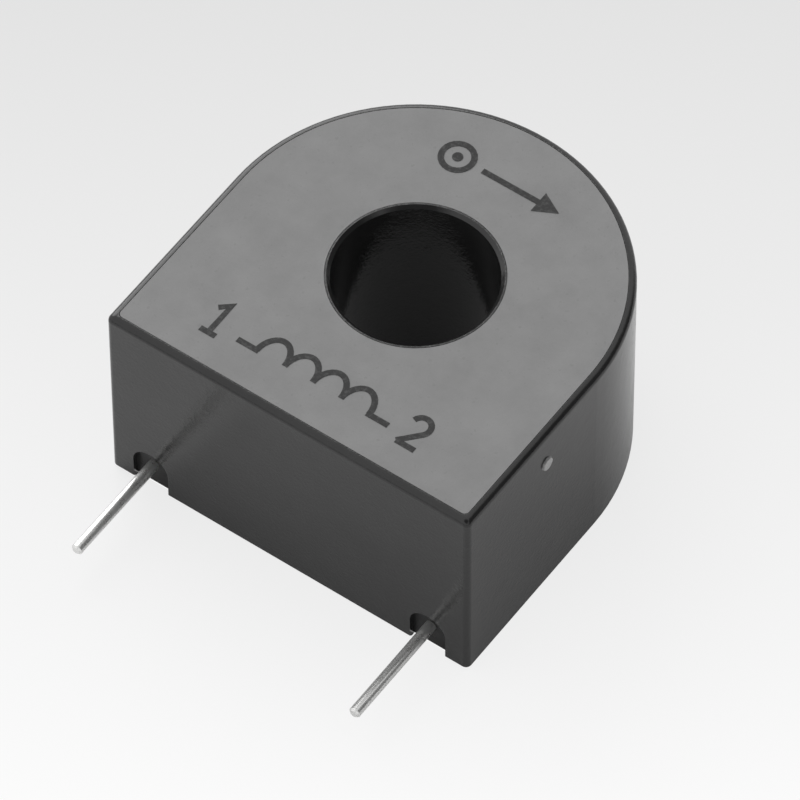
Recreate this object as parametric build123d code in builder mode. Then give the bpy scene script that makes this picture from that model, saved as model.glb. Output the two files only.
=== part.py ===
"""Current transformer for circuit boards: a D-shaped case with a round window and two pins.

The frame: the origin is on the window's axis, in the plane of the case's open back, on which the
part lies. +Z runs along the window towards the face plate, and the pins point along -Y.
All sizes are millimetres.
"""

import math
import os

from build123d import *

# Outer form: a D as long as it is wide, whose round end is concentric with the window
half_width = 12.25  # half the width across the two straight sides
thickness = 13.8  # from the open back to the front face
corner_round = 0.35  # the two upright corners beside the flat side
front_round = 0.42  # round on the front face's outer edge
back_chamfer = 0.2  # on the back rim's outer edge

# Case walls and the window's tube
wall = 1.0
front_wall = 1.2
bore_radius = 4.75
bore_mouth_chamfer = 0.2
tube_wall = 0.8
cavity_corner = 0.4

# Face plate in its recess
rim_width = 0.45  # dark rim left round the plate
plate_thickness = 0.3
plate_corner = 0.3
plate_gap = 0.03  # gap round the plate's edges
collar_width = 0.3  # dark ring between the window and the plate

# Pins
pin_side_distance = 2.725  # from each straight side to its pin's axis: the pins stand 19.05 apart
pin_radius = 0.35
pin_reach = 7.0  # free length beyond the flat side
pin_tip_chamfer = 0.12
pin_height = 1.8  # the pins' axes above the open back
anchor_radius = 0.55  # thicker stretch that locks each pin in the filling
anchor_cover = 0.1  # filling over the front of that stretch
anchor_solder_gap = 0.08  # from the thicker stretch to the solder on the pin's tail
tail_show = 0.15  # end of the tail past the solder

# Notch through which each pin leaves the flat side, and the post that carries it
notch_width = 2.4
notch_seal_depth = 0.35  # how far the filling stands back from the flat side in each notch
post_width = 1.7
cradle_clearance = 0.02

# Ribs under the winding on the inside of the front wall
rib_count = 4
rib_height = 0.4
rib_width = 0.8
rib_end_clearance = 0.7

# Moulding gate left on the +X side
gate_radius = 0.45
gate_height = 0.12
gate_drop = 2.6  # below the front face
gate_offset = -4.8  # along Y, from the window's axis

# Wound ring, from the outside inwards
ring_stand = 3.2  # the ring's lower side above the open back
ring_clearance = 0.25  # between the ring and the tube or the round wall
winding_side = 0.6  # winding build-up in the ring's eye
winding_outside = 0.45
winding_cap = 0.5  # build-up on the ring's two flat sides
winding_gap_angle = 10.0  # open sector between the first turn and the last, in degrees
turn_groups = 16  # groups of turns told apart by a shallow groove
groove_depth = 0.12
groove_width = 0.14
tray_wall = 0.4
fit_clearance = 0.05  # core in its tray, and lid in the tray's mouth

# Leads from the winding to the pins, and their solder joints
lead_radius = 0.15
lead_angle = 55.0  # where a lead leaves the ring, in degrees below the X axis
lead_rise = 0.85  # above the winding's lower side
lead_seat = 0.2  # from the winding to the middle of the lead's first cut end
lead_overrun = 0.45  # past the pin's axis
lead_pin_gap = 0.1  # solder between a lead and the pin that it lies across
joint_setback = 3.15  # from the flat side to the middle of the solder
solder_radius = 0.8
solder_half_length = 0.62

# Cast filling
fill_recess = 0.2  # how far the filling's face stands in from the back rim

# Worked out from the sizes above
flat_distance = half_width  # from the window's axis to the flat side that meets the board
cavity_half_width = half_width - wall
cavity_distance = flat_distance - wall
cavity_top = thickness - front_wall
tube_radius = bore_radius + tube_wall
plate_bottom = thickness - plate_thickness
collar_radius = bore_radius + collar_width
pin_offset = half_width - pin_side_distance
pin_places = (-pin_offset, pin_offset)

ring_top = cavity_top - rib_height
ring_inner = tube_radius + ring_clearance
ring_outer = cavity_half_width - ring_clearance

tray_inner = ring_inner + winding_side
tray_outer = ring_outer - winding_outside
tray_bottom = ring_stand + winding_cap
tray_top = ring_top - winding_cap

core_inner = tray_inner + tray_wall + fit_clearance
core_outer = tray_outer - tray_wall - fit_clearance
core_bottom = tray_bottom + tray_wall + fit_clearance
core_top = tray_top - tray_wall - fit_clearance

joint_distance = flat_distance - joint_setback
seal_distance = flat_distance - notch_seal_depth
anchor_front = seal_distance - anchor_cover
anchor_back = joint_distance + solder_half_length + anchor_solder_gap
tail_end = joint_distance - solder_half_length - tail_show
post_length = cavity_distance - anchor_back

half_gap = winding_gap_angle / 2
gap_start = -90 + half_gap
wound_angle = 360 - winding_gap_angle


def d_outline(across, down, corner):
    """Return a D: a half circle over a rectangle whose two lower corners are rounded."""
    with BuildSketch(mode=Mode.PRIVATE) as outline:
        with BuildLine():
            Polyline((across, 0), (across, -down), (-across, -down), (-across, 0))
            ThreePointArc((-across, 0), (0, across), (across, 0))
        make_face()
        fillet(outline.vertices().group_by(Axis.Y)[0], radius=corner)
    return outline.sketch


def radial_plane(angle):
    """Return the upright plane through the window's axis whose X points outwards at this angle."""
    turn = math.radians(angle)
    outward = (math.cos(turn), math.sin(turn), 0)
    normal = (math.sin(turn), -math.cos(turn), 0)
    return Plane(origin=(0, 0, 0), x_dir=outward, z_dir=normal)


def winding_outline(inset):
    """Return the winding's section beside the axis, drawn in by this much all round."""
    middle = ((ring_inner + ring_outer) / 2, (ring_stand + ring_top) / 2)
    with BuildSketch(mode=Mode.PRIVATE) as section:
        with Locations(middle):
            Rectangle(ring_outer - ring_inner - 2 * inset, ring_top - ring_stand - 2 * inset)
    return section.sketch


outer_outline = d_outline(half_width, flat_distance, corner_round)
cavity_outline = d_outline(cavity_half_width, cavity_distance, cavity_corner)
recess_outline = d_outline(half_width - rim_width, flat_distance - rim_width, plate_corner)
plate_inset = rim_width + plate_gap
plate_outline = d_outline(half_width - plate_inset, flat_distance - plate_inset, plate_corner)
seal_outline = d_outline(half_width - notch_seal_depth, seal_distance, cavity_corner)

winding_section = winding_outline(0)


# Case: D-shaped cup, open at the back, with the window's tube and the plate's recess
with BuildPart() as case:
    with BuildSketch():
        add(outer_outline)
    extrude(amount=thickness)
    front_edges = case.faces().sort_by(Axis.Z)[-1].outer_wire().edges()
    fillet(front_edges, radius=front_round)
    back_edges = case.faces().sort_by(Axis.Z)[0].outer_wire().edges()
    chamfer(back_edges, length=back_chamfer)

    with BuildSketch():
        add(cavity_outline)
        Circle(tube_radius, mode=Mode.SUBTRACT)
    extrude(amount=cavity_top, mode=Mode.SUBTRACT)

    with BuildSketch(Plane.XY.offset(plate_bottom)):
        add(recess_outline)
        Circle(collar_radius, mode=Mode.SUBTRACT)
    extrude(amount=plate_thickness, mode=Mode.SUBTRACT)

    with BuildSketch():
        Circle(bore_radius)
    extrude(amount=thickness, mode=Mode.SUBTRACT)
    mouth = case.edges().filter_by(
        lambda edge: edge.geom_type == GeomType.CIRCLE and abs(edge.radius - bore_radius) < 1e-6
    )
    chamfer(mouth.sort_by(Axis.Z)[-1], length=bore_mouth_chamfer)

    # Ribs that hold the wound ring off the front wall
    rib_length = ring_outer - ring_inner - 2 * rib_end_clearance
    rib_centre = (ring_inner + ring_outer) / 2
    with BuildSketch(Plane.XY.offset(cavity_top)):
        with PolarLocations(rib_centre, rib_count, start_angle=45):
            Rectangle(rib_length, rib_width)
    extrude(amount=-rib_height)

    # Posts behind the flat side, each with a half-round cradle for its pin's thick stretch
    with BuildSketch(Plane.XY.offset(cavity_top)):
        for place in pin_places:
            with Locations((place, -cavity_distance)):
                Rectangle(post_width, post_length, align=(Align.CENTER, Align.MIN))
    extrude(amount=pin_height - cavity_top)
    with BuildSketch(Plane.XZ.offset(cavity_distance)):
        with Locations(*[(place, pin_height) for place in pin_places]):
            Circle(anchor_radius + cradle_clearance)
    extrude(amount=-post_length, mode=Mode.SUBTRACT)

    # Notches in the flat side, open towards the back
    with BuildSketch(Plane.XZ.offset(flat_distance)):
        for place in pin_places:
            with Locations((place, 0)):
                Rectangle(notch_width, pin_height, align=(Align.CENTER, Align.MIN))
            with Locations((place, pin_height)):
                Circle(notch_width / 2)
    extrude(amount=-wall, mode=Mode.SUBTRACT)

    # Gate left on the +X side
    with BuildSketch(Plane.YZ.offset(half_width)):
        with Locations((gate_offset, thickness - gate_drop)):
            Circle(gate_radius)
    extrude(amount=gate_height, taper=20)


# Face plate, flush with the dark rim
with BuildPart() as label_plate:
    with BuildSketch(Plane.XY.offset(plate_bottom)):
        add(plate_outline)
        Circle(collar_radius + plate_gap, mode=Mode.SUBTRACT)
    extrude(amount=plate_thickness)


# Core: a ring wound from magnetic strip
with BuildPart() as core:
    with BuildSketch(Plane.XY.offset(core_bottom)):
        Circle(core_outer)
        Circle(core_inner, mode=Mode.SUBTRACT)
    extrude(amount=core_top - core_bottom)


# Core tray: a ring-shaped channel, and the flat lid that seats in its mouth
with BuildPart() as core_tray:
    with BuildSketch(Plane.XY.offset(tray_bottom)):
        Circle(tray_outer)
        Circle(tray_inner, mode=Mode.SUBTRACT)
    extrude(amount=tray_top - tray_bottom)
    with BuildSketch(Plane.XY.offset(tray_bottom + tray_wall)):
        Circle(tray_outer - tray_wall)
        Circle(tray_inner + tray_wall, mode=Mode.SUBTRACT)
    extrude(amount=tray_top - tray_bottom, mode=Mode.SUBTRACT)

with BuildPart() as core_tray_lid:
    with BuildSketch(Plane.XY.offset(tray_top - tray_wall)):
        Circle(tray_outer - tray_wall - fit_clearance)
        Circle(tray_inner + tray_wall + fit_clearance, mode=Mode.SUBTRACT)
    extrude(amount=tray_wall)


# One shallow groove round the winding's section, used between groups of turns
with BuildPart() as turn_groove:
    with BuildSketch(radial_plane(0)):
        add(winding_outline(-groove_depth))
        add(winding_outline(groove_depth), mode=Mode.SUBTRACT)
    extrude(amount=groove_width / 2, both=True)


# Secondary winding: turns round the whole tray but for one gap beside the flat side
with BuildPart() as secondary_winding:
    with BuildSketch(radial_plane(gap_start)):
        add(winding_section)
    revolve(axis=Axis.Z, revolution_arc=wound_angle)
    with BuildSketch(Plane.XY.offset(tray_bottom)):
        Circle(tray_outer)
        Circle(tray_inner, mode=Mode.SUBTRACT)
    extrude(amount=tray_top - tray_bottom, mode=Mode.SUBTRACT)
    group_angle = wound_angle / turn_groups
    first_groove = gap_start + group_angle
    groove_span = wound_angle - 2 * group_angle
    with PolarLocations(0, turn_groups - 1, first_groove, groove_span, endpoint=True):
        add(turn_groove.part, mode=Mode.SUBTRACT)


# Pins: round wire with a thicker stretch that the filling locks in place
def pin_outline():
    """Return half of a pin's outline beside its axis, from the inner end to the tip."""
    tip = flat_distance + pin_reach
    with BuildSketch(Plane.XY, mode=Mode.PRIVATE) as outline:
        with BuildLine():
            Polyline(
                (0, -tail_end),
                (pin_radius, -tail_end),
                (pin_radius, -anchor_back),
                (anchor_radius, -anchor_back),
                (anchor_radius, -anchor_front),
                (pin_radius, -anchor_front),
                (pin_radius, pin_tip_chamfer - tip),
                (pin_radius - pin_tip_chamfer, -tip),
                (0, -tip),
                close=True,
            )
        make_face()
    return outline.sketch


pin_profile = pin_outline()

with BuildPart() as pin_left:
    with BuildSketch(Plane.XY.offset(pin_height).move(Location((pin_places[0], 0, 0)))):
        add(pin_profile)
    revolve(axis=Axis((pin_places[0], 0, pin_height), (0, 1, 0)))

with BuildPart() as pin_right:
    with BuildSketch(Plane.XY.offset(pin_height).move(Location((pin_places[1], 0, 0)))):
        add(pin_profile)
    revolve(axis=Axis((pin_places[1], 0, pin_height), (0, 1, 0)))


# Leads: from the ring's side straight to the tail of each pin, above which they cross
ring_turn = math.radians(lead_angle)
lead_from = Vector(
    -(ring_outer + lead_seat) * math.cos(ring_turn),
    -(ring_outer + lead_seat) * math.sin(ring_turn),
    ring_stand + lead_rise,
)
lead_over_pin = Vector(
    pin_places[0], -joint_distance, pin_height + pin_radius + lead_pin_gap + lead_radius
)
lead_run = (lead_over_pin - lead_from).length
lead_plane = Plane(origin=lead_from, z_dir=lead_over_pin - lead_from)

with BuildPart() as lead_start:
    with BuildSketch(lead_plane):
        Circle(lead_radius)
    extrude(amount=lead_run + lead_overrun)

with BuildPart() as lead_finish:
    mirror(lead_start.part, about=Plane.YZ)


# Solder round each pin's tail and the end of its lead
with BuildPart() as solder_left:
    with BuildSketch(Plane.XZ.offset(joint_distance)):
        with Locations((pin_places[0], pin_height)):
            Circle(solder_radius)
    extrude(amount=solder_half_length, both=True)
    add(pin_left.part, mode=Mode.SUBTRACT)
    add(lead_start.part, mode=Mode.SUBTRACT)

with BuildPart() as solder_right:
    mirror(solder_left.part, about=Plane.YZ)


# The wound ring's whole outer form, with the tray across the winding's gap
with BuildPart() as ring_envelope:
    with BuildSketch(radial_plane(gap_start)):
        add(winding_section)
    revolve(axis=Axis.Z, revolution_arc=wound_angle)
    with BuildSketch(Plane.XY.offset(tray_bottom)):
        Circle(tray_outer)
        Circle(tray_inner, mode=Mode.SUBTRACT)
    extrude(amount=tray_top - tray_bottom)


# Cast filling: all of the cup's room, out into the notches, less what stands in it
with BuildPart() as potting_compound:
    with BuildSketch(Plane.XY.offset(fill_recess)):
        add(seal_outline)
        Circle(tube_radius, mode=Mode.SUBTRACT)
    extrude(amount=cavity_top - fill_recess)
    add(case.part, mode=Mode.SUBTRACT)
    add(ring_envelope.part, mode=Mode.SUBTRACT)
    for embedded in (pin_left, pin_right, lead_start, lead_finish, solder_left, solder_right):
        add(embedded.part, mode=Mode.SUBTRACT)


pieces = {
    "case": case,
    "label_plate": label_plate,
    "core": core,
    "core_tray": core_tray,
    "core_tray_lid": core_tray_lid,
    "secondary_winding": secondary_winding,
    "lead_start": lead_start,
    "lead_finish": lead_finish,
    "pin_left": pin_left,
    "pin_right": pin_right,
    "solder_left": solder_left,
    "solder_right": solder_right,
    "potting_compound": potting_compound,
}

os.makedirs("parts", exist_ok=True)
for name, piece in pieces.items():
    piece.part.label = name
    export_step(piece.part, f"parts/{name}.step")
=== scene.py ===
"""Current transformer for circuit boards, dressed for rendering and set on a pale floor.

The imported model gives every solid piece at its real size. This script adds the finish of each
surface, the print on the face plate, the studio and the camera. Lengths are millimetres in the
constants and dataclass fields, and metres in the meshes.
"""

import logging
import math
from dataclasses import dataclass, field
from typing import Any, Protocol

import bpy
import numpy as np
from mathutils import Matrix, Vector


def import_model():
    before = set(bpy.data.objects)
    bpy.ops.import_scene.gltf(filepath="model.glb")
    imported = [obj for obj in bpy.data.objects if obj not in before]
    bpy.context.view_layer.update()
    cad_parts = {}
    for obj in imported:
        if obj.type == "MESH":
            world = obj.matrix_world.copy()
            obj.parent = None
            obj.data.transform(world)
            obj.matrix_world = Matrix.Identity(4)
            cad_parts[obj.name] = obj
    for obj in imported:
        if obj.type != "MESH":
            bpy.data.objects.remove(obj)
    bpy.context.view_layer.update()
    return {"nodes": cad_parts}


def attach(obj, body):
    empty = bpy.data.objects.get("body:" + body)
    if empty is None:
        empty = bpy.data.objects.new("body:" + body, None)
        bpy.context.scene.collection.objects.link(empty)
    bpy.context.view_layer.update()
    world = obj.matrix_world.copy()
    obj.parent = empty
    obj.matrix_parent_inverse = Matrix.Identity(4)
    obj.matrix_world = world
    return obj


MM = 0.001
BODY = "root"

Colour = tuple[float, float, float, float]
Point = tuple[float, float, float]
Pair = tuple[float, float]

log = logging.getLogger("current_transformer")


class Value:
    """One shader socket, with the arithmetic of plain numbers.

    Each operator adds a Math node to the graph and returns its output as a new Value.
    """

    def __init__(self, graph: "NodeGraph", socket: bpy.types.NodeSocket) -> None:
        """Wrap one output socket of a graph."""
        self.graph = graph
        self.socket = socket

    def output(self, name: str) -> "Value":
        """Return another output of the same node."""
        return Value(self.graph, self.socket.node.outputs[name])

    def _maths(self, operation: str, *inputs: "Value | float") -> "Value":
        """Return the output of a new Math node with these inputs."""
        return self.graph.node("ShaderNodeMath", {"operation": operation}, *inputs)

    def __add__(self, other: "Value | float") -> "Value":
        """Return the sum."""
        return self._maths("ADD", self, other)

    __radd__ = __add__

    def __sub__(self, other: "Value | float") -> "Value":
        """Return the difference."""
        return self._maths("SUBTRACT", self, other)

    def __rsub__(self, other: float) -> "Value":
        """Return a number less this value."""
        return self._maths("SUBTRACT", other, self)

    def __mul__(self, other: "Value | float") -> "Value":
        """Return the product."""
        return self._maths("MULTIPLY", self, other)

    __rmul__ = __mul__

    def __pow__(self, other: "Value | float") -> "Value":
        """Return this value raised to a power."""
        return self._maths("POWER", self, other)

    def __abs__(self) -> "Value":
        """Return the magnitude."""
        return self._maths("ABSOLUTE", self)

    def above(self, limit: float) -> "Value":
        """Return 1 where this value is over a limit and 0 elsewhere."""
        return self._maths("GREATER_THAN", self, limit)

    def most(self, other: "Value | float") -> "Value":
        """Return the larger of two values."""
        return self._maths("MAXIMUM", self, other)

    def sine(self) -> "Value":
        """Return the sine."""
        return self._maths("SINE", self)

    def smooth(self, low: float, high: float, start: float = 0.0, end: float = 1.0) -> "Value":
        """Return a soft step from start to end while this value goes from low to high."""
        settings = {"interpolation_type": "SMOOTHSTEP"}
        return self.graph.node("ShaderNodeMapRange", settings, self, low, high, start, end)

    def rise(self, low: float, high: float) -> "Value":
        """Return an even rise from 0 to 1 while this value goes from low to high."""
        settings = {"interpolation_type": "LINEAR"}
        return self.graph.node("ShaderNodeMapRange", settings, self, low, high, 0.0, 1.0)


class NodeGraph:
    """The nodes of one material or of the world, made one by one."""

    def __init__(self, owner: bpy.types.Material | bpy.types.World, output: str) -> None:
        """Clear the owner's graph but for its output node.

        Args:
            owner: The material or the world.
            output: The type of its output node.
        """
        owner.use_nodes = True
        self.tree = owner.node_tree
        self.tree.nodes.clear()
        self.end = self.tree.nodes.new(output)

    def node(self, kind: str, settings: dict[str, Any], *inputs: Any, **named: Any) -> Value:
        """Add one node.

        Args:
            kind: The node's type.
            settings: Its properties, set before its sockets.
            inputs: Values or links for its enabled sockets, in order.
            named: Values or links for its sockets by name, with _ for a space.

        Returns:
            The node's first enabled output.
        """
        made = self.tree.nodes.new(kind)
        for name, value in settings.items():
            setattr(made, name, value)
        sockets = [socket for socket in made.inputs if socket.enabled]
        for socket, value in zip(sockets, inputs):
            self._feed(socket, value)
        for name, value in named.items():
            self._feed(made.inputs[name.replace("_", " ")], value)
        outputs = [socket for socket in made.outputs if socket.enabled]
        return Value(self, outputs[0])

    def _feed(self, socket: bpy.types.NodeSocket, value: Any) -> None:
        """Set or link one input socket.

        Args:
            socket: The input socket.
            value: A Value to link, or a plain value to set.
        """
        if isinstance(value, Value):
            self.tree.links.new(value.socket, socket)
        else:
            socket.default_value = value

    def show(self, shader: Value) -> None:
        """Link a shader to the graph's output node."""
        self.tree.links.new(shader.socket, self.end.inputs["Surface"])

    def split(self, vector: Value) -> tuple[Value, Value, Value]:
        """Return a vector's three parts."""
        first = self.node("ShaderNodeSeparateXYZ", {}, vector)
        return first, first.output("Y"), first.output("Z")

    def blend(self, share: Value, low: Value | Colour, high: Value | Colour) -> Value:
        """Return two colours mixed by a share from 0 to 1."""
        return self.node("ShaderNodeMix", {"data_type": "RGBA"}, share, low, high)


class MaterialGraph(NodeGraph):
    """The nodes of a new material."""

    def __init__(self, name: str) -> None:
        """Start an empty material of this name."""
        self.material = bpy.data.materials.new(name)
        super().__init__(self.material, "ShaderNodeOutputMaterial")

    def stretch(self, vector: Value, scale: Point) -> Value:
        """Return a vector with each part multiplied by its own number."""
        return self.node("ShaderNodeVectorMath", {"operation": "MULTIPLY"}, vector, scale)

    def place(self) -> Value:
        """Return the Object coordinates in millimetres."""
        coordinates = self.node("ShaderNodeTexCoord", {}).output("Object")
        return self.stretch(coordinates, (1 / MM,) * 3)

    def noise(self, vector: Value, size: float, detail: float = 2.0, rough: float = 0.5) -> Value:
        """Return noise from 0 to 1 in blotches of a size, with finer layers by detail and rough."""
        layers = {"Scale": 1 / size, "Detail": detail, "Roughness": rough}
        return self.node("ShaderNodeTexNoise", {}, vector, **layers)

    def bump(self, height: Value, depth: float) -> Value:
        """Return a normal that follows a height, of which 1 stands for the depth."""
        return self.node("ShaderNodeBump", {}, Strength=1.0, Distance=depth * MM, Height=height)

    def finish(self, shader: Value) -> bpy.types.Material:
        """Show a shader and return the finished material."""
        self.show(shader)
        return self.material

    def surface(self, **sockets: Any) -> bpy.types.Material:
        """Return the material finished with one Principled shader, with its inputs by name."""
        return self.finish(self.node("ShaderNodeBsdfPrincipled", {}, **sockets))


def grey(level: float) -> Colour:
    """Return a neutral colour of a linear level."""
    return (level, level, level, 1.0)


class Finish(Protocol):
    """The finish of one kind of stock."""

    @property
    def name(self) -> str:
        """Return the material's name."""

    def make(self) -> bpy.types.Material:
        """Return the material."""


@dataclass(frozen=True)
class MouldedPlastic:
    """Glossy dark plastic, faintly rippled, with a paler, rougher round spot on its right side.

    Attributes:
        name: The material's name.
        level: Its linear grey.
        drift: How far the grey drifts in broad patches, as a share.
        roughness: Its middle roughness.
        patch: Size of its broad patches.
        patch_dulling: How far the roughness changes over the patches.
        ripple: Size of its ripples.
        grain: Size of its fine grain.
        depth: Depth of the ripples and the grain.
        scuff: Size of its scuffs.
        scuff_cut: The noise's levels between which a scuff starts.
        scuff_share: How much of the scuffs' own grey shows.
        scuff_pale: That grey, as a multiple of the level.
        scuff_dulling: How much rougher a scuff is.
        scuff_rise: Its height, as a share of the depth.
        pale_spot: The middle of the paler spot.
        pale_spot_radius: How far the spot's colour reaches.
        pale_spot_edge: Half the width of the spot's soft edge.
        pale_spot_ragged: How far the grain draws that edge in.
        pale_spot_level: The spot's linear grey.
        pale_spot_dulling: How much rougher the spot is.
        pale_spot_rise: Height of the spot's grain, as a multiple of the depth.
    """

    name: str = "case_plastic"
    level: float = 0.016
    drift: float = 0.6
    roughness: float = 0.11
    patch: float = 5.0
    patch_dulling: float = 0.12
    ripple: float = 1.6
    grain: float = 0.2
    depth: float = 0.01
    scuff: float = 0.8
    scuff_cut: Pair = (0.5, 0.72)
    scuff_share: float = 0.35
    scuff_pale: float = 2.0
    scuff_dulling: float = 0.09
    scuff_rise: float = 0.15
    pale_spot: Point = (12.3, -4.8, 11.2)
    pale_spot_radius: float = 0.5
    pale_spot_edge: float = 0.08
    pale_spot_ragged: float = 0.12
    pale_spot_level: float = 0.5
    pale_spot_dulling: float = 0.35
    pale_spot_rise: float = 4.0

    def make(self) -> bpy.types.Material:
        """Return the material.

        Returns:
            The plastic, with its patches, scuffs and paler spot.
        """
        graph = MaterialGraph(self.name)
        place = graph.place()
        patches = graph.noise(place, self.patch, detail=3.0)
        ripple = graph.noise(place, self.ripple)
        fine = graph.noise(place, self.grain, detail=3.0, rough=0.6)
        scuffs = graph.noise(place, self.scuff, detail=5.0, rough=0.75).smooth(*self.scuff_cut)
        spot = self._pale_spot(graph, place, fine)
        dark = grey(self.level * (1 - self.drift / 2))
        pale = grey(self.level * (1 + self.drift))
        colour = graph.blend(patches, dark, pale)
        scuffed = grey(self.level * self.scuff_pale)
        colour = graph.blend(scuffs * self.scuff_share, colour, scuffed)
        # A paler, rougher round spot on the right side of the case.
        colour = graph.blend(spot, colour, grey(self.pale_spot_level))
        roughness = self.roughness + (patches - 0.5) * self.patch_dulling
        roughness = roughness + scuffs * self.scuff_dulling + spot * self.pale_spot_dulling
        height = fine + ripple + scuffs * self.scuff_rise + spot * fine * self.pale_spot_rise
        return graph.surface(
            Base_Color=colour,
            Roughness=roughness,
            Normal=graph.bump(height, self.depth),
            IOR=1.5,
            Specular_IOR_Level=0.5,
        )

    def _pale_spot(self, graph: MaterialGraph, place: Value, fine: Value) -> Value:
        """Return the share of the paler spot, ragged at its edge.

        Args:
            graph: The plastic's graph.
            place: The Object coordinates.
            fine: The fine grain.

        Returns:
            1 inside the spot's radius and 0 outside, by the distance from its middle.
        """
        across, along, up = graph.split(place)
        squares = (across - self.pale_spot[0]) ** 2.0 + (along - self.pale_spot[1]) ** 2.0
        distance = (squares + (up - self.pale_spot[2]) ** 2.0) ** 0.5
        ragged = distance + fine * self.pale_spot_ragged
        return ragged.smooth(self.pale_spot_radius + self.pale_spot_edge, self.pale_spot_radius - self.pale_spot_edge)


@dataclass(frozen=True)
class FacePlasticAndSheen:
    """Matt grey plastic of the face plate, whose grey is partly its own and partly painted sheen of
    light from above on the top face.

    Attributes:
        name: The material's name.
        level: Its linear grey, partly the plate's own and partly painted sheen.
        span: The greys of its darkest and palest patches, as shares of the level.
        roughness: Its middle roughness.
        gloss: Its specular level.
        patch: Size of its patches.
        patch_dulling: How far the roughness changes over the patches.
        grain: Size of its fine grain.
        depth: Depth of that grain.
        speck: Size of its dark specks.
        speck_cut: The noise's levels between which a speck starts.
        speck_share: How much of the specks' own grey shows.
        speck_dark: That grey, as a share of the level.
    """

    name: str = "face_plate"
    # This grey is partly the plate's own and partly painted sheen from light above.
    level: float = 0.24
    span: Pair = (0.8, 1.22)
    roughness: float = 0.55
    gloss: float = 0.3
    patch: float = 2.4
    patch_dulling: float = 0.12
    grain: float = 0.22
    depth: float = 0.012
    speck: float = 0.3
    speck_cut: Pair = (0.62, 0.72)
    speck_share: float = 0.25
    speck_dark: float = 0.65

    def make(self) -> bpy.types.Material:
        """Return the material.

        Returns:
            The plate's plastic, its grey partly painted sheen, with its patches and specks.
        """
        graph = MaterialGraph(self.name)
        place = graph.place()
        patches = graph.noise(place, self.patch, detail=5.0, rough=0.65)
        fine = graph.noise(place, self.grain, detail=3.0, rough=0.6)
        specks = graph.noise(place, self.speck).smooth(*self.speck_cut)
        # The grey holds painted sheen of the top face as well as the plate's own colour.
        dark, pale = (grey(self.level * share) for share in self.span)
        colour = graph.blend(patches, dark, pale)
        colour = graph.blend(specks * self.speck_share, colour, grey(self.level * self.speck_dark))
        return graph.surface(
            Base_Color=colour,
            Roughness=self.roughness + (patches - 0.5) * self.patch_dulling,
            Normal=graph.bump(fine, self.depth),
            Specular_IOR_Level=self.gloss,
        )


@dataclass(frozen=True)
class PrintInk:
    """Dark ink of the marks, a little thin in places.

    Attributes:
        name: The material's name.
        level: Its linear grey where it is thick.
        thin_pale: Its grey where it is thin, as a multiple of the level.
        roughness: Its roughness where it is thick.
        thin_dulling: How much rougher it is where it is thin.
        gloss: Its specular level.
        thin: Size of its thin places.
        thin_cut: The noise's levels between which a thin place starts.
    """

    name: str = "mark_ink"
    level: float = 0.035
    thin_pale: float = 2.4
    roughness: float = 0.55
    thin_dulling: float = 0.15
    gloss: float = 0.2
    thin: float = 0.25
    thin_cut: Pair = (0.45, 0.7)

    def make(self) -> bpy.types.Material:
        """Return the material.

        Returns:
            The ink, paler and rougher where it is thin.
        """
        graph = MaterialGraph(self.name)
        thin = graph.noise(graph.place(), self.thin, detail=4.0, rough=0.7).smooth(*self.thin_cut)
        return graph.surface(
            Base_Color=graph.blend(thin, grey(self.level), grey(self.level * self.thin_pale)),
            Roughness=self.roughness + thin * self.thin_dulling,
            Specular_IOR_Level=self.gloss,
        )


@dataclass(frozen=True)
class TinnedWire:
    """Bright tinned copper wire with faint lines drawn along it.

    Attributes:
        name: The material's name.
        low: Its duller tin.
        high: Its brighter tin.
        roughness: Its lowest roughness.
        dulling: How much rougher its cloudiest places are.
        metallic: How metallic it is.
        line: Width of the drawn lines.
        draw: The lines' scale in each direction, small along the wire.
        cloud: Size of its clouds.
        line_rise: Height of the lines, as a share of the depth.
        cloud_rise: Height of the clouds, as a share of the depth.
        depth: Depth of the lines and clouds.
    """

    name: str = "tinned_pin"
    low: Colour = (0.8, 0.8, 0.79, 1.0)
    high: Colour = (0.92, 0.92, 0.91, 1.0)
    roughness: float = 0.2
    dulling: float = 0.16
    metallic: float = 0.8
    line: float = 0.05
    draw: Point = (1.0, 0.08, 1.0)
    cloud: float = 0.7
    line_rise: float = 0.6
    cloud_rise: float = 0.4
    depth: float = 0.0015

    def make(self) -> bpy.types.Material:
        """Return the material.

        Returns:
            The tin, clouded and drawn along Y.
        """
        graph = MaterialGraph(self.name)
        place = graph.place()
        lines = graph.noise(graph.stretch(place, self.draw), self.line)
        clouds = graph.noise(place, self.cloud, detail=3.0)
        return graph.surface(
            Base_Color=graph.blend(clouds, self.low, self.high),
            Roughness=self.roughness + clouds * self.dulling,
            Metallic=self.metallic,
            Normal=graph.bump(lines * self.line_rise + clouds * self.cloud_rise, self.depth),
        )


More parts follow.
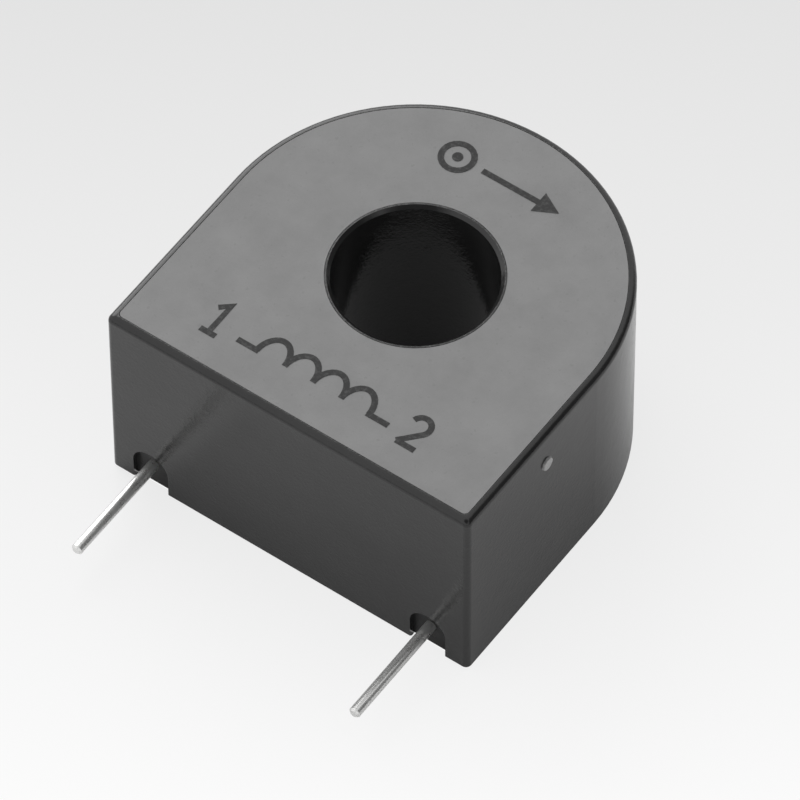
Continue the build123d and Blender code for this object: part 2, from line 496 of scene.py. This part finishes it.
@dataclass(frozen=True)
class CastResin:
    """Dark cast filling with a faintly uneven, glossy skin.

    Attributes:
        name: The material's name.
        levels: Its darkest and palest linear greys.
        roughness: Its lowest roughness.
        dulling: How much rougher its haziest places are.
        gloss: Its specular level.
        swell: Size of its broad swellings.
        swell_rise: Their height, as a multiple of the depth.
        haze: Size of its hazy places.
        dimple: Size of the dimples that bubbles left.
        dimple_cut: The noise's levels between which a dimple starts.
        dimple_fall: Their depth, as a multiple of the depth.
        depth: The depth on which both are based.
    """

    name: str = "cast_filling"
    levels: Pair = (0.006, 0.014)
    roughness: float = 0.27
    dulling: float = 0.22
    gloss: float = 0.3
    swell: float = 4.0
    swell_rise: float = 12.0
    haze: float = 1.2
    dimple: float = 0.35
    dimple_cut: Pair = (0.3, 0.24)
    dimple_fall: float = 1.5
    depth: float = 0.02

    def make(self) -> bpy.types.Material:
        """Return the material.

        Returns:
            The resin, hazed, swollen and dimpled.
        """
        graph = MaterialGraph(self.name)
        place = graph.place()
        swell = graph.noise(place, self.swell)
        haze = graph.noise(place, self.haze, detail=4.0, rough=0.65)
        dimples = graph.noise(place, self.dimple, detail=1.0).smooth(*self.dimple_cut)
        dark, pale = (grey(level) for level in self.levels)
        height = swell * self.swell_rise - dimples * self.dimple_fall
        return graph.surface(
            Base_Color=graph.blend(haze, dark, pale),
            Roughness=self.roughness + haze * self.dulling,
            Normal=graph.bump(height, self.depth),
            Specular_IOR_Level=self.gloss,
        )


@dataclass(frozen=True)
class WoundCopper:
    """Enamelled copper wire, ribbed once for each turn round the ring.

    Attributes:
        name: The material's name.
        low: The darker enamel.
        high: The lighter enamel.
        roughness: Its lowest roughness.
        dulling: How much rougher its cloudiest places are.
        metallic: How metallic it is.
        cloud: Size of its clouds.
        turns: How many turns there would be on the full ring.
        depth: Depth of the grooves between the turns.
    """

    name: str = "winding_wire"
    low: Colour = (0.42, 0.13, 0.045, 1.0)
    high: Colour = (0.6, 0.22, 0.08, 1.0)
    roughness: float = 0.3
    dulling: float = 0.12
    metallic: float = 0.8
    cloud: float = 1.5
    turns: float = 400.0
    depth: float = 0.04

    def make(self) -> bpy.types.Material:
        """Return the material.

        Returns:
            The enamel, with a rib for each turn by the angle round the window's axis.
        """
        graph = MaterialGraph(self.name)
        place = graph.place()
        across, along, _up = graph.split(place)
        angle = graph.node("ShaderNodeMath", {"operation": "ARCTAN2"}, along, across)
        ribs = abs((angle * (self.turns / 2)).sine())
        clouds = graph.noise(place, self.cloud, detail=3.0)
        return graph.surface(
            Base_Color=graph.blend(clouds, self.low, self.high),
            Roughness=self.roughness + clouds * self.dulling,
            Metallic=self.metallic,
            Normal=graph.bump(ribs, self.depth),
        )


@dataclass(frozen=True)
class PlainStock:
    """Plastic, strip or solder of an inner piece, clouded and finely grained.

    Attributes:
        name: The material's name.
        low: The darker colour.
        high: The lighter colour.
        roughness: Its middle roughness.
        metallic: How metallic it is.
        grain: Size of its grain.
        cloud: Size of its clouds.
        dulling: How far the roughness changes over the grain.
        depth: Depth of the grain.
    """

    name: str
    low: Colour
    high: Colour
    roughness: float
    metallic: float = 0.0
    grain: float = 0.2
    cloud: float = 1.8
    dulling: float = 0.1
    depth: float = 0.004

    def make(self) -> bpy.types.Material:
        """Return the material.

        Returns:
            The stock, clouded and grained.
        """
        graph = MaterialGraph(self.name)
        place = graph.place()
        clouds = graph.noise(place, self.cloud, detail=3.0)
        fine = graph.noise(place, self.grain, detail=3.0)
        return graph.surface(
            Base_Color=graph.blend(clouds, self.low, self.high),
            Roughness=self.roughness + (fine - 0.5) * self.dulling,
            Metallic=self.metallic,
            Normal=graph.bump(fine, self.depth),
        )


CORE_STRIP = PlainStock(
    name="core_strip",
    low=(0.3, 0.3, 0.31, 1.0),
    high=(0.46, 0.46, 0.48, 1.0),
    roughness=0.38,
    metallic=0.9,
    grain=0.05,
)
TRAY_PLASTIC = PlainStock(
    name="tray_plastic",
    low=(0.6, 0.57, 0.48, 1.0),
    high=(0.7, 0.68, 0.6, 1.0),
    roughness=0.45,
)
JOINT_SOLDER = PlainStock(
    name="solder",
    low=(0.36, 0.36, 0.37, 1.0),
    high=(0.5, 0.5, 0.51, 1.0),
    roughness=0.3,
    metallic=0.9,
    grain=0.3,
)


class Printed(Protocol):
    """One printed shape of the marks."""

    def cells(self) -> tuple[np.ndarray, list[list[int]]]:
        """Return its corners as rows of x and y, and the corners of each face."""


@dataclass(frozen=True)
class Stroke:
    """A printed line of even width.

    Attributes:
        points: Its middle line, as rows of x and y.
        width: Its width.
        closed: Whether its end joins its start.
        sharpest: The least cosine of half a bend for which the width is kept.
    """

    points: np.ndarray
    width: float = 0.36
    closed: bool = False
    sharpest: float = 0.5

    def cells(self) -> tuple[np.ndarray, list[list[int]]]:
        """Return the line's two sides and the four-sided faces between them.

        At each point the sides stand off square to the mean of the steps before and after it,
        by half the width divided by the cosine of half the bend, which keeps the width even.

        Returns:
            The corners as rows of x and y, left side first, and the corners of each face.
        """
        points = np.asarray(self.points, float)
        steps = np.roll(points, -1, axis=0) - points
        if not self.closed:
            steps[-1] = steps[-2]
        steps /= np.linalg.norm(steps, axis=1, keepdims=True)
        before = np.roll(steps, 1, axis=0)
        if not self.closed:
            before[0] = steps[0]
        mean = steps + before
        mean /= np.linalg.norm(mean, axis=1, keepdims=True)
        bend = np.clip((mean * steps).sum(axis=1, keepdims=True), self.sharpest, 1.0)
        side = np.stack([-mean[:, 1], mean[:, 0]], axis=1) / bend * self.width / 2
        count = len(points)
        start = np.arange(count if self.closed else count - 1)
        after = (start + 1) % count
        faces = np.stack([start + count, after + count, after, start], axis=1)
        return np.vstack([points + side, points - side]), faces.tolist()


@dataclass(frozen=True)
class Patch:
    """A filled printed shape.

    Attributes:
        points: Its outline, anticlockwise, as rows of x and y.
    """

    points: np.ndarray

    def cells(self) -> tuple[np.ndarray, list[list[int]]]:
        """Return the outline as one face."""
        return np.asarray(self.points, float), [list(range(len(self.points)))]


def arc(centre: Pair, radii: Pair, span: Pair, count: int) -> np.ndarray:
    """Return points along part of an ellipse.

    Each point is the centre plus the cosine and sine of its angle times the two radii.

    Args:
        centre: Its middle.
        radii: Its half width and half height.
        span: The first and last angles in degrees.
        count: How many points.

    Returns:
        The points as rows of x and y.
    """
    turns = np.radians(np.linspace(*span, count))
    return np.stack([np.cos(turns), np.sin(turns)], axis=1) * radii + centre


def circle(centre: Pair, radius: float, count: int) -> np.ndarray:
    """Return evenly spread points round a full circle, anticlockwise."""
    return arc(centre, (radius, radius), (0.0, 360.0 - 360.0 / count), count)


@dataclass(frozen=True)
class FacePrint:
    """Generic marks on the face plate: pin numbers, a coil between them, and a polarity mark.

    Attributes:
        plate_top: Height of the plate's face.
        lift: The gap left under the ink.
        film: The ink's thickness.
        layer: How far each shape's film stands over the last one's.
        row: Height of the row beside the flat side, along Y.
        tall: Height of the numbers.
        one: Where the number 1 stands, along X.
        one_stem: Its nose and stem, as x and shares of half the height.
        one_foot: Its foot, in the same way.
        two: Where the number 2 stands, along X.
        two_bow: Centre of its bow over the row, as a share of half the height.
        two_radii: The bow's half width and half height.
        two_span: The bow's first and last angles in degrees.
        two_foot: Its foot, as x and shares of half the height.
        coil: First and last X of the coil's bumps.
        coil_base: How far the coil's base lies under the row, as a share of the height.
        bumps: How many bumps it has.
        bump_rise: Their height.
        coil_end: Length of the straight line at each end of the coil.
        coil_lap: How far that line runs on under the first and last bump.
        far_row: Height of the polarity mark, along Y.
        dot: Where the ringed dot stands, along X.
        ring_radius: Radius of its ring.
        dot_radius: Radius of the dot.
        arrow: The arrow's start and tip, along X.
        head: Length and half width of the arrow's head.
        head_lap: How far the shaft runs into the head.
    """

    plate_top: float = 13.8
    lift: float = 0.001
    film: float = 0.012
    layer: float = 0.001
    row: float = -8.75
    tall: float = 2.2
    one: float = -7.1
    one_stem: tuple[Pair, ...] = ((-0.45, 0.55), (0.1, 1.0), (0.1, -1.0))
    one_foot: tuple[Pair, ...] = ((-0.45, -1.0), (0.6, -1.0))
    two: float = 6.3
    two_bow: float = 0.4
    two_radii: Pair = (0.58, 0.6)
    two_span: Pair = (165.0, -40.0)
    two_foot: tuple[Pair, ...] = ((-0.6, -1.0), (0.65, -1.0))
    coil: Pair = (-4.1, 3.5)
    coil_base: float = 0.25
    bumps: int = 4
    bump_rise: float = 1.35
    coil_end: float = 1.3
    coil_lap: float = 0.15
    far_row: float = 8.1
    dot: float = -2.9
    ring_radius: float = 0.95
    dot_radius: float = 0.32
    arrow: Pair = (-1.2, 4.0)
    head: Pair = (1.4, 0.75)
    head_lap: float = 0.1

    def _written(self, across: float, points: tuple[Pair, ...]) -> np.ndarray:
        """Return a number's points, set in the row at one X."""
        return np.array(points) * (1.0, self.tall / 2) + (across, self.row)

    def number_one(self) -> list[Printed]:
        """Return the number beside the first pin."""
        stem, foot = (self._written(self.one, part) for part in (self.one_stem, self.one_foot))
        return [Stroke(stem), Stroke(foot)]

    def number_two(self) -> list[Printed]:
        """Return the number beside the second pin.

        Returns:
            The bow that ends at the foot's start, and the foot.
        """
        centre = (self.two, self.row + self.tall / 2 * self.two_bow)
        bow = arc(centre, self.two_radii, self.two_span, count=14)
        foot = self._written(self.two, self.two_foot)
        return [Stroke(np.vstack([bow, foot[:1]])), Stroke(foot)]

    def winding(self) -> list[Printed]:
        """Return the coil drawn between the numbers, with its two ends.

        Returns:
            Half an ellipse for each bump, then the straight lines at the start and the end.
        """
        first, last = self.coil
        half = (last - first) / self.bumps / 2
        base = self.row - self.tall * self.coil_base
        bumps: list[Printed] = []
        for index in range(self.bumps):
            centre = (first + half * (2 * index + 1), base)
            bumps.append(Stroke(arc(centre, (half, self.bump_rise), (180.0, 0.0), count=16)))
        start = [(first - self.coil_end, base), (first + self.coil_lap, base)]
        end = [(last - self.coil_lap, base), (last + self.coil_end, base)]
        return [*bumps, Stroke(np.array(start)), Stroke(np.array(end))]

    def polarity(self) -> list[Printed]:
        """Return the ringed dot and the arrow at the round end.

        Returns:
            The ring, the dot, the arrow's shaft and its head.
        """
        centre = (self.dot, self.far_row)
        ring = circle(centre, self.ring_radius, count=24)
        dot = circle(centre, self.dot_radius, count=16)
        start, tip = self.arrow
        length, half = self.head
        neck = tip - length
        shaft = [(start, self.far_row), (neck + self.head_lap, self.far_row)]
        head = [(neck, self.far_row - half), (tip, self.far_row), (neck, self.far_row + half)]
        arrow: list[Printed] = [Stroke(np.array(shaft)), Patch(np.array(head))]
        return [Stroke(ring, closed=True), Patch(dot), *arrow]

    def make(self) -> bpy.types.Object:
        """Return the marks as one thin film of ink.

        Returns:
            The piece, riding the transformer's body.
        """
        shapes = self.number_one() + self.number_two() + self.winding() + self.polarity()
        corners: list[np.ndarray] = []
        faces: list[list[int]] = []
        total = 0
        for layer, shape in enumerate(shapes):
            points, cells = shape.cells()
            level = self.plate_top + self.lift + self.layer * layer
            corners.append(np.pad(points, ((0, 0), (0, 1)), constant_values=level))
            faces.extend([[index + total for index in cell] for cell in cells])
            total += len(points)
        points, faces = self._thicken(np.vstack(corners), faces)
        mesh = bpy.data.meshes.new("face_print")
        mesh.from_pydata((points * MM).tolist(), [], faces)
        ink = bpy.data.objects.new("face_print", mesh)
        bpy.context.scene.collection.objects.link(ink)
        ink.data.materials.append(PrintInk().make())
        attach(ink, BODY)
        log.info("face_print made of %d shapes", len(shapes))
        return ink

    def _thicken(
        self, flat: np.ndarray, faces: list[list[int]]
    ) -> tuple[np.ndarray, list[list[int]]]:
        """Give the flat marks the film's thickness, upwards.

        The underside is the flat faces turned over, and the top is a copy of them. An edge that
        no other face runs along the other way lies on an outline, and a wall stands on it.

        Args:
            flat: The marks' corners.
            faces: The corners of each flat face, anticlockwise from above.

        Returns:
            The corners and the faces of the closed film.
        """
        count = len(flat)
        edges = np.vstack([np.stack([face, np.roll(face, -1)], axis=1) for face in faces])
        outline = ~np.isin(edges @ (count, 1), edges @ (1, count))
        start, end = edges[outline].T
        walls = np.stack([start, end, end + count, start + count], axis=1)
        under = [face[::-1] for face in faces]
        over = [[index + count for index in face] for face in faces]
        raised = flat + (0.0, 0.0, self.film)
        return np.vstack([flat, raised]), [*under, *over, *walls.tolist()]


@dataclass
class TransformerBody:
    """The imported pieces, each given the finish of its real stock.

    Attributes:
        finishes: The finish of each node.
    """

    finishes: dict[str, Finish] = field(
        default_factory=lambda: {
            "case": MouldedPlastic(),
            "label_plate": FacePlasticAndSheen(),
            "core": CORE_STRIP,
            "core_tray": TRAY_PLASTIC,
            "core_tray_lid": TRAY_PLASTIC,
            "secondary_winding": WoundCopper(),
            "lead_start": WoundCopper(),
            "lead_finish": WoundCopper(),
            "pin_left": TinnedWire(),
            "pin_right": TinnedWire(),
            "solder_left": JOINT_SOLDER,
            "solder_right": JOINT_SOLDER,
            "potting_compound": CastResin(),
        }
    )

    def dress(self, nodes: dict[str, bpy.types.Object]) -> None:
        """Put each finish into its node's material slot.

        Args:
            nodes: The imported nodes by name.
        """
        made: dict[str, bpy.types.Material] = {}
        for name, finish in self.finishes.items():
            if finish.name not in made:
                made[finish.name] = finish.make()
            piece = nodes[name]
            if not piece.material_slots:
                piece.data.materials.append(None)
            piece.material_slots[0].material = made[finish.name]
            log.info("%s dressed in %s", name, finish.name)


@dataclass(frozen=True)
class DimSide:
    """A dim part of the sky.

    Attributes:
        direction: Its middle.
        start: Cosine of the angle from there at which it starts to dim.
        full: Cosine of the angle within which it is fully dim.
        dim: The share of the light that is missing there.
    """

    direction: Point
    start: float
    full: float
    dim: float


@dataclass(frozen=True)
class Studio:
    """The floor, the soft light and the camera.

    Attributes:
        floor_half: Half the floor's width.
        floor_drop: The floor's depth under the part's back.
        floor_level: The floor's linear grey under light.
        far_level: Its linear grey far from the part, where only reflections show it.
        far_reach: The distances between which it changes.
        near: The floor's level at the photograph's lower edge, to the camera.
        far: Its level at the upper edge.
        reach: Distance from the middle at which those levels hold.
        show: How much of the floor's look to the camera is plain.
        mirror_show: The same share in reflections, low enough to keep the shadow there.
        clear_form: Radius round the window and half width of the D between which the part
            hides a clear floor.
        sky_level: The sky's level.
        dim_sides: The dim parts of the sky: the dark end of the room, and round the camera.
        lamp_place: The lamp's place.
        lamp_size: The lamp's diameter.
        lamp_power: The lamp's power in watts.
        camera_place: The camera's place.
        camera_aim: The point in the middle of the view.
        camera_roll: The camera's roll in degrees.
        camera_range: The nearest and farthest distances that the camera shows.
        focal_pixels: Focal length in pixels of the photograph.
        photo_width: Width of the photograph in pixels.
        sensor: Sensor width.
    """

    floor_half: float = 1500.0
    floor_drop: float = 0.01
    floor_level: float = 0.85
    far_level: float = 0.3
    far_reach: Pair = (70.0, 220.0)
    near: float = 1.045
    far: float = 0.755
    reach: float = 34.0
    show: float = 0.85
    mirror_show: float = 0.12
    clear_form: Pair = (4.85, 11.85)
    sky_level: float = 0.93
    dim_sides: tuple[DimSide, ...] = (
        DimSide(direction=(0.83, 0.5, 0.15), start=0.62, full=0.88, dim=0.9),
        DimSide(direction=(0.345, -0.478, 0.796), start=0.8, full=0.93, dim=0.88),
    )
    lamp_place: Point = (-430.0, 250.0, 330.0)
    lamp_size: float = 560.0
    lamp_power: float = 1.8
    camera_place: Point = (188.1, -262.06, 436.1)
    camera_aim: Point = (1.31, -3.35, 6.9)
    camera_roll: float = -0.3
    camera_range: Pair = (10.0, 10000.0)
    focal_pixels: float = 9612.0
    photo_width: float = 800.0
    sensor: float = 36.0

    def make_floor(self) -> bpy.types.Object:
        """Return the floor, on which the part rests.

        Returns:
            One square, painted.
        """
        corners = np.array([[-1, -1, 0], [1, -1, 0], [1, 1, 0], [-1, 1, 0]], float)
        corners = (corners * self.floor_half - (0.0, 0.0, self.floor_drop)) * MM
        mesh = bpy.data.meshes.new("floor")
        mesh.from_pydata(corners.tolist(), [], [(0, 1, 2, 3)])
        floor = bpy.data.objects.new("floor", mesh)
        bpy.context.scene.collection.objects.link(floor)
        floor.data.materials.append(self._floor_paint())
        log.info("floor laid")
        return floor

    def _floor_paint(self) -> bpy.types.Material:
        """Return the floor's material: pale paint that keeps the shadow.

        It is clear from below, and where the part covers it, so that the back shows from there.

        Returns:
            The finished material.
        """
        graph = MaterialGraph("floor_paint")
        across, along, _up = graph.split(graph.place())
        from_axis = (across * across + along * along) ** 0.5
        distant = from_axis.smooth(*self.far_reach)
        painted = graph.blend(distant, grey(self.floor_level), grey(self.far_level))
        paint = graph.node("ShaderNodeBsdfDiffuse", {}, Color=painted)
        tint = self._floor_tint(graph, across, along)
        glow = graph.node("ShaderNodeEmission", {}, Color=tint, Strength=1.0)
        mixed = graph.node("ShaderNodeMixShader", {}, self._plain_share(graph), paint, glow)
        window, outline = self.clear_form
        round_end = (across * across + along.most(0.0) ** 2.0) ** 0.5
        covered = from_axis.above(window) * (1 - round_end.most(along * -1.0).above(outline))
        clear = graph.node("ShaderNodeNewGeometry", {}).output("Backfacing").most(covered)
        nothing = graph.node("ShaderNodeBsdfTransparent", {})
        return graph.finish(graph.node("ShaderNodeMixShader", {}, clear, mixed, nothing))

    def _floor_tint(self, graph: MaterialGraph, across: Value, along: Value) -> Value:
        """Return the plain look of the floor, which darkens away from the camera.

        Args:
            graph: The floor's graph.
            across: The place along X.
            along: The place along Y.

        Returns:
            The colour, by the distance along the camera's level line of sight.
        """
        sight = Vector(self.camera_aim) - Vector(self.camera_place)
        sight.z = 0
        sight.normalize()
        away = (across * sight.x + along * sight.y).rise(-self.reach, self.reach)
        return graph.blend(away, grey(self.near), grey(self.far))

    def _plain_share(self, graph: MaterialGraph) -> Value:
        """Return how much of the floor is plain, to the camera and in reflections.

        Args:
            graph: The floor's graph.

        Returns:
            The share, by the kind of ray.
        """
        path = graph.node("ShaderNodeLightPath", {})
        mirrored = path.output("Is Glossy Ray").most(path.output("Is Transmission Ray"))
        return (path.output("Is Camera Ray") * self.show).most(mirrored * self.mirror_show)

    def light_sky(self) -> None:
        """Set a soft sky, dimmed once for each of its dim sides."""
        world = bpy.data.worlds.new("studio")
        bpy.context.scene.world = world
        graph = NodeGraph(world, "ShaderNodeOutputWorld")
        place = graph.node("ShaderNodeTexCoord", {}).output("Generated")
        level: Value | float = self.sky_level
        for side in self.dim_sides:
            middle = Vector(side.direction).normalized()
            facing = graph.node("ShaderNodeVectorMath", {"operation": "DOT_PRODUCT"}, place, middle)
            dimmed = facing.output("Value").smooth(side.start, side.full, 1.0, 1.0 - side.dim)
            level = dimmed * level
        graph.show(graph.node("ShaderNodeBackground", {}, Color=grey(1.0), Strength=level))
        log.info("sky set with %d dim sides", len(self.dim_sides))

    def light_lamp(self) -> None:
        """Set one large weak lamp behind on the left, turned to the part."""
        lamp = bpy.data.lights.new("window_light", "AREA")
        lamp.shape = "DISK"
        lamp.size = self.lamp_size * MM
        lamp.energy = self.lamp_power
        holder = bpy.data.objects.new("window_light", lamp)
        bpy.context.scene.collection.objects.link(holder)
        holder.location = Vector(self.lamp_place) * MM
        holder.rotation_mode = "QUATERNION"
        holder.rotation_quaternion = (-holder.location).to_track_quat("-Z", "Y")
        log.info("lamp set")

    def make_camera(self) -> bpy.types.Object:
        """Return the camera at the photograph's place.

        Returns:
            The scene's camera.
        """
        data = bpy.data.cameras.new("camera")
        data.sensor_width = self.sensor
        data.lens = self.focal_pixels / self.photo_width * self.sensor
        data.clip_start, data.clip_end = (limit * MM for limit in self.camera_range)
        camera = bpy.data.objects.new("camera", data)
        bpy.context.scene.collection.objects.link(camera)
        place = Vector(self.camera_place) * MM
        sight = Vector(self.camera_aim) * MM - place
        turn = sight.to_track_quat("-Z", "Y").to_matrix()
        roll = Matrix.Rotation(math.radians(self.camera_roll), 3, "Z")
        camera.location = place
        camera.rotation_mode = "QUATERNION"
        camera.rotation_quaternion = (turn @ roll).to_quaternion()
        bpy.context.scene.camera = camera
        log.info("camera set")
        return camera


def main() -> None:
    """Build the scene."""
    logging.basicConfig(level=logging.INFO, format="%(message)s")
    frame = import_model()
    TransformerBody().dress(frame["nodes"])
    FacePrint().make()
    studio = Studio()
    studio.make_floor()
    studio.light_sky()
    studio.light_lamp()
    studio.make_camera()
    bpy.context.scene.view_settings.view_transform = "Standard"


if __name__ == "__main__":
    main()
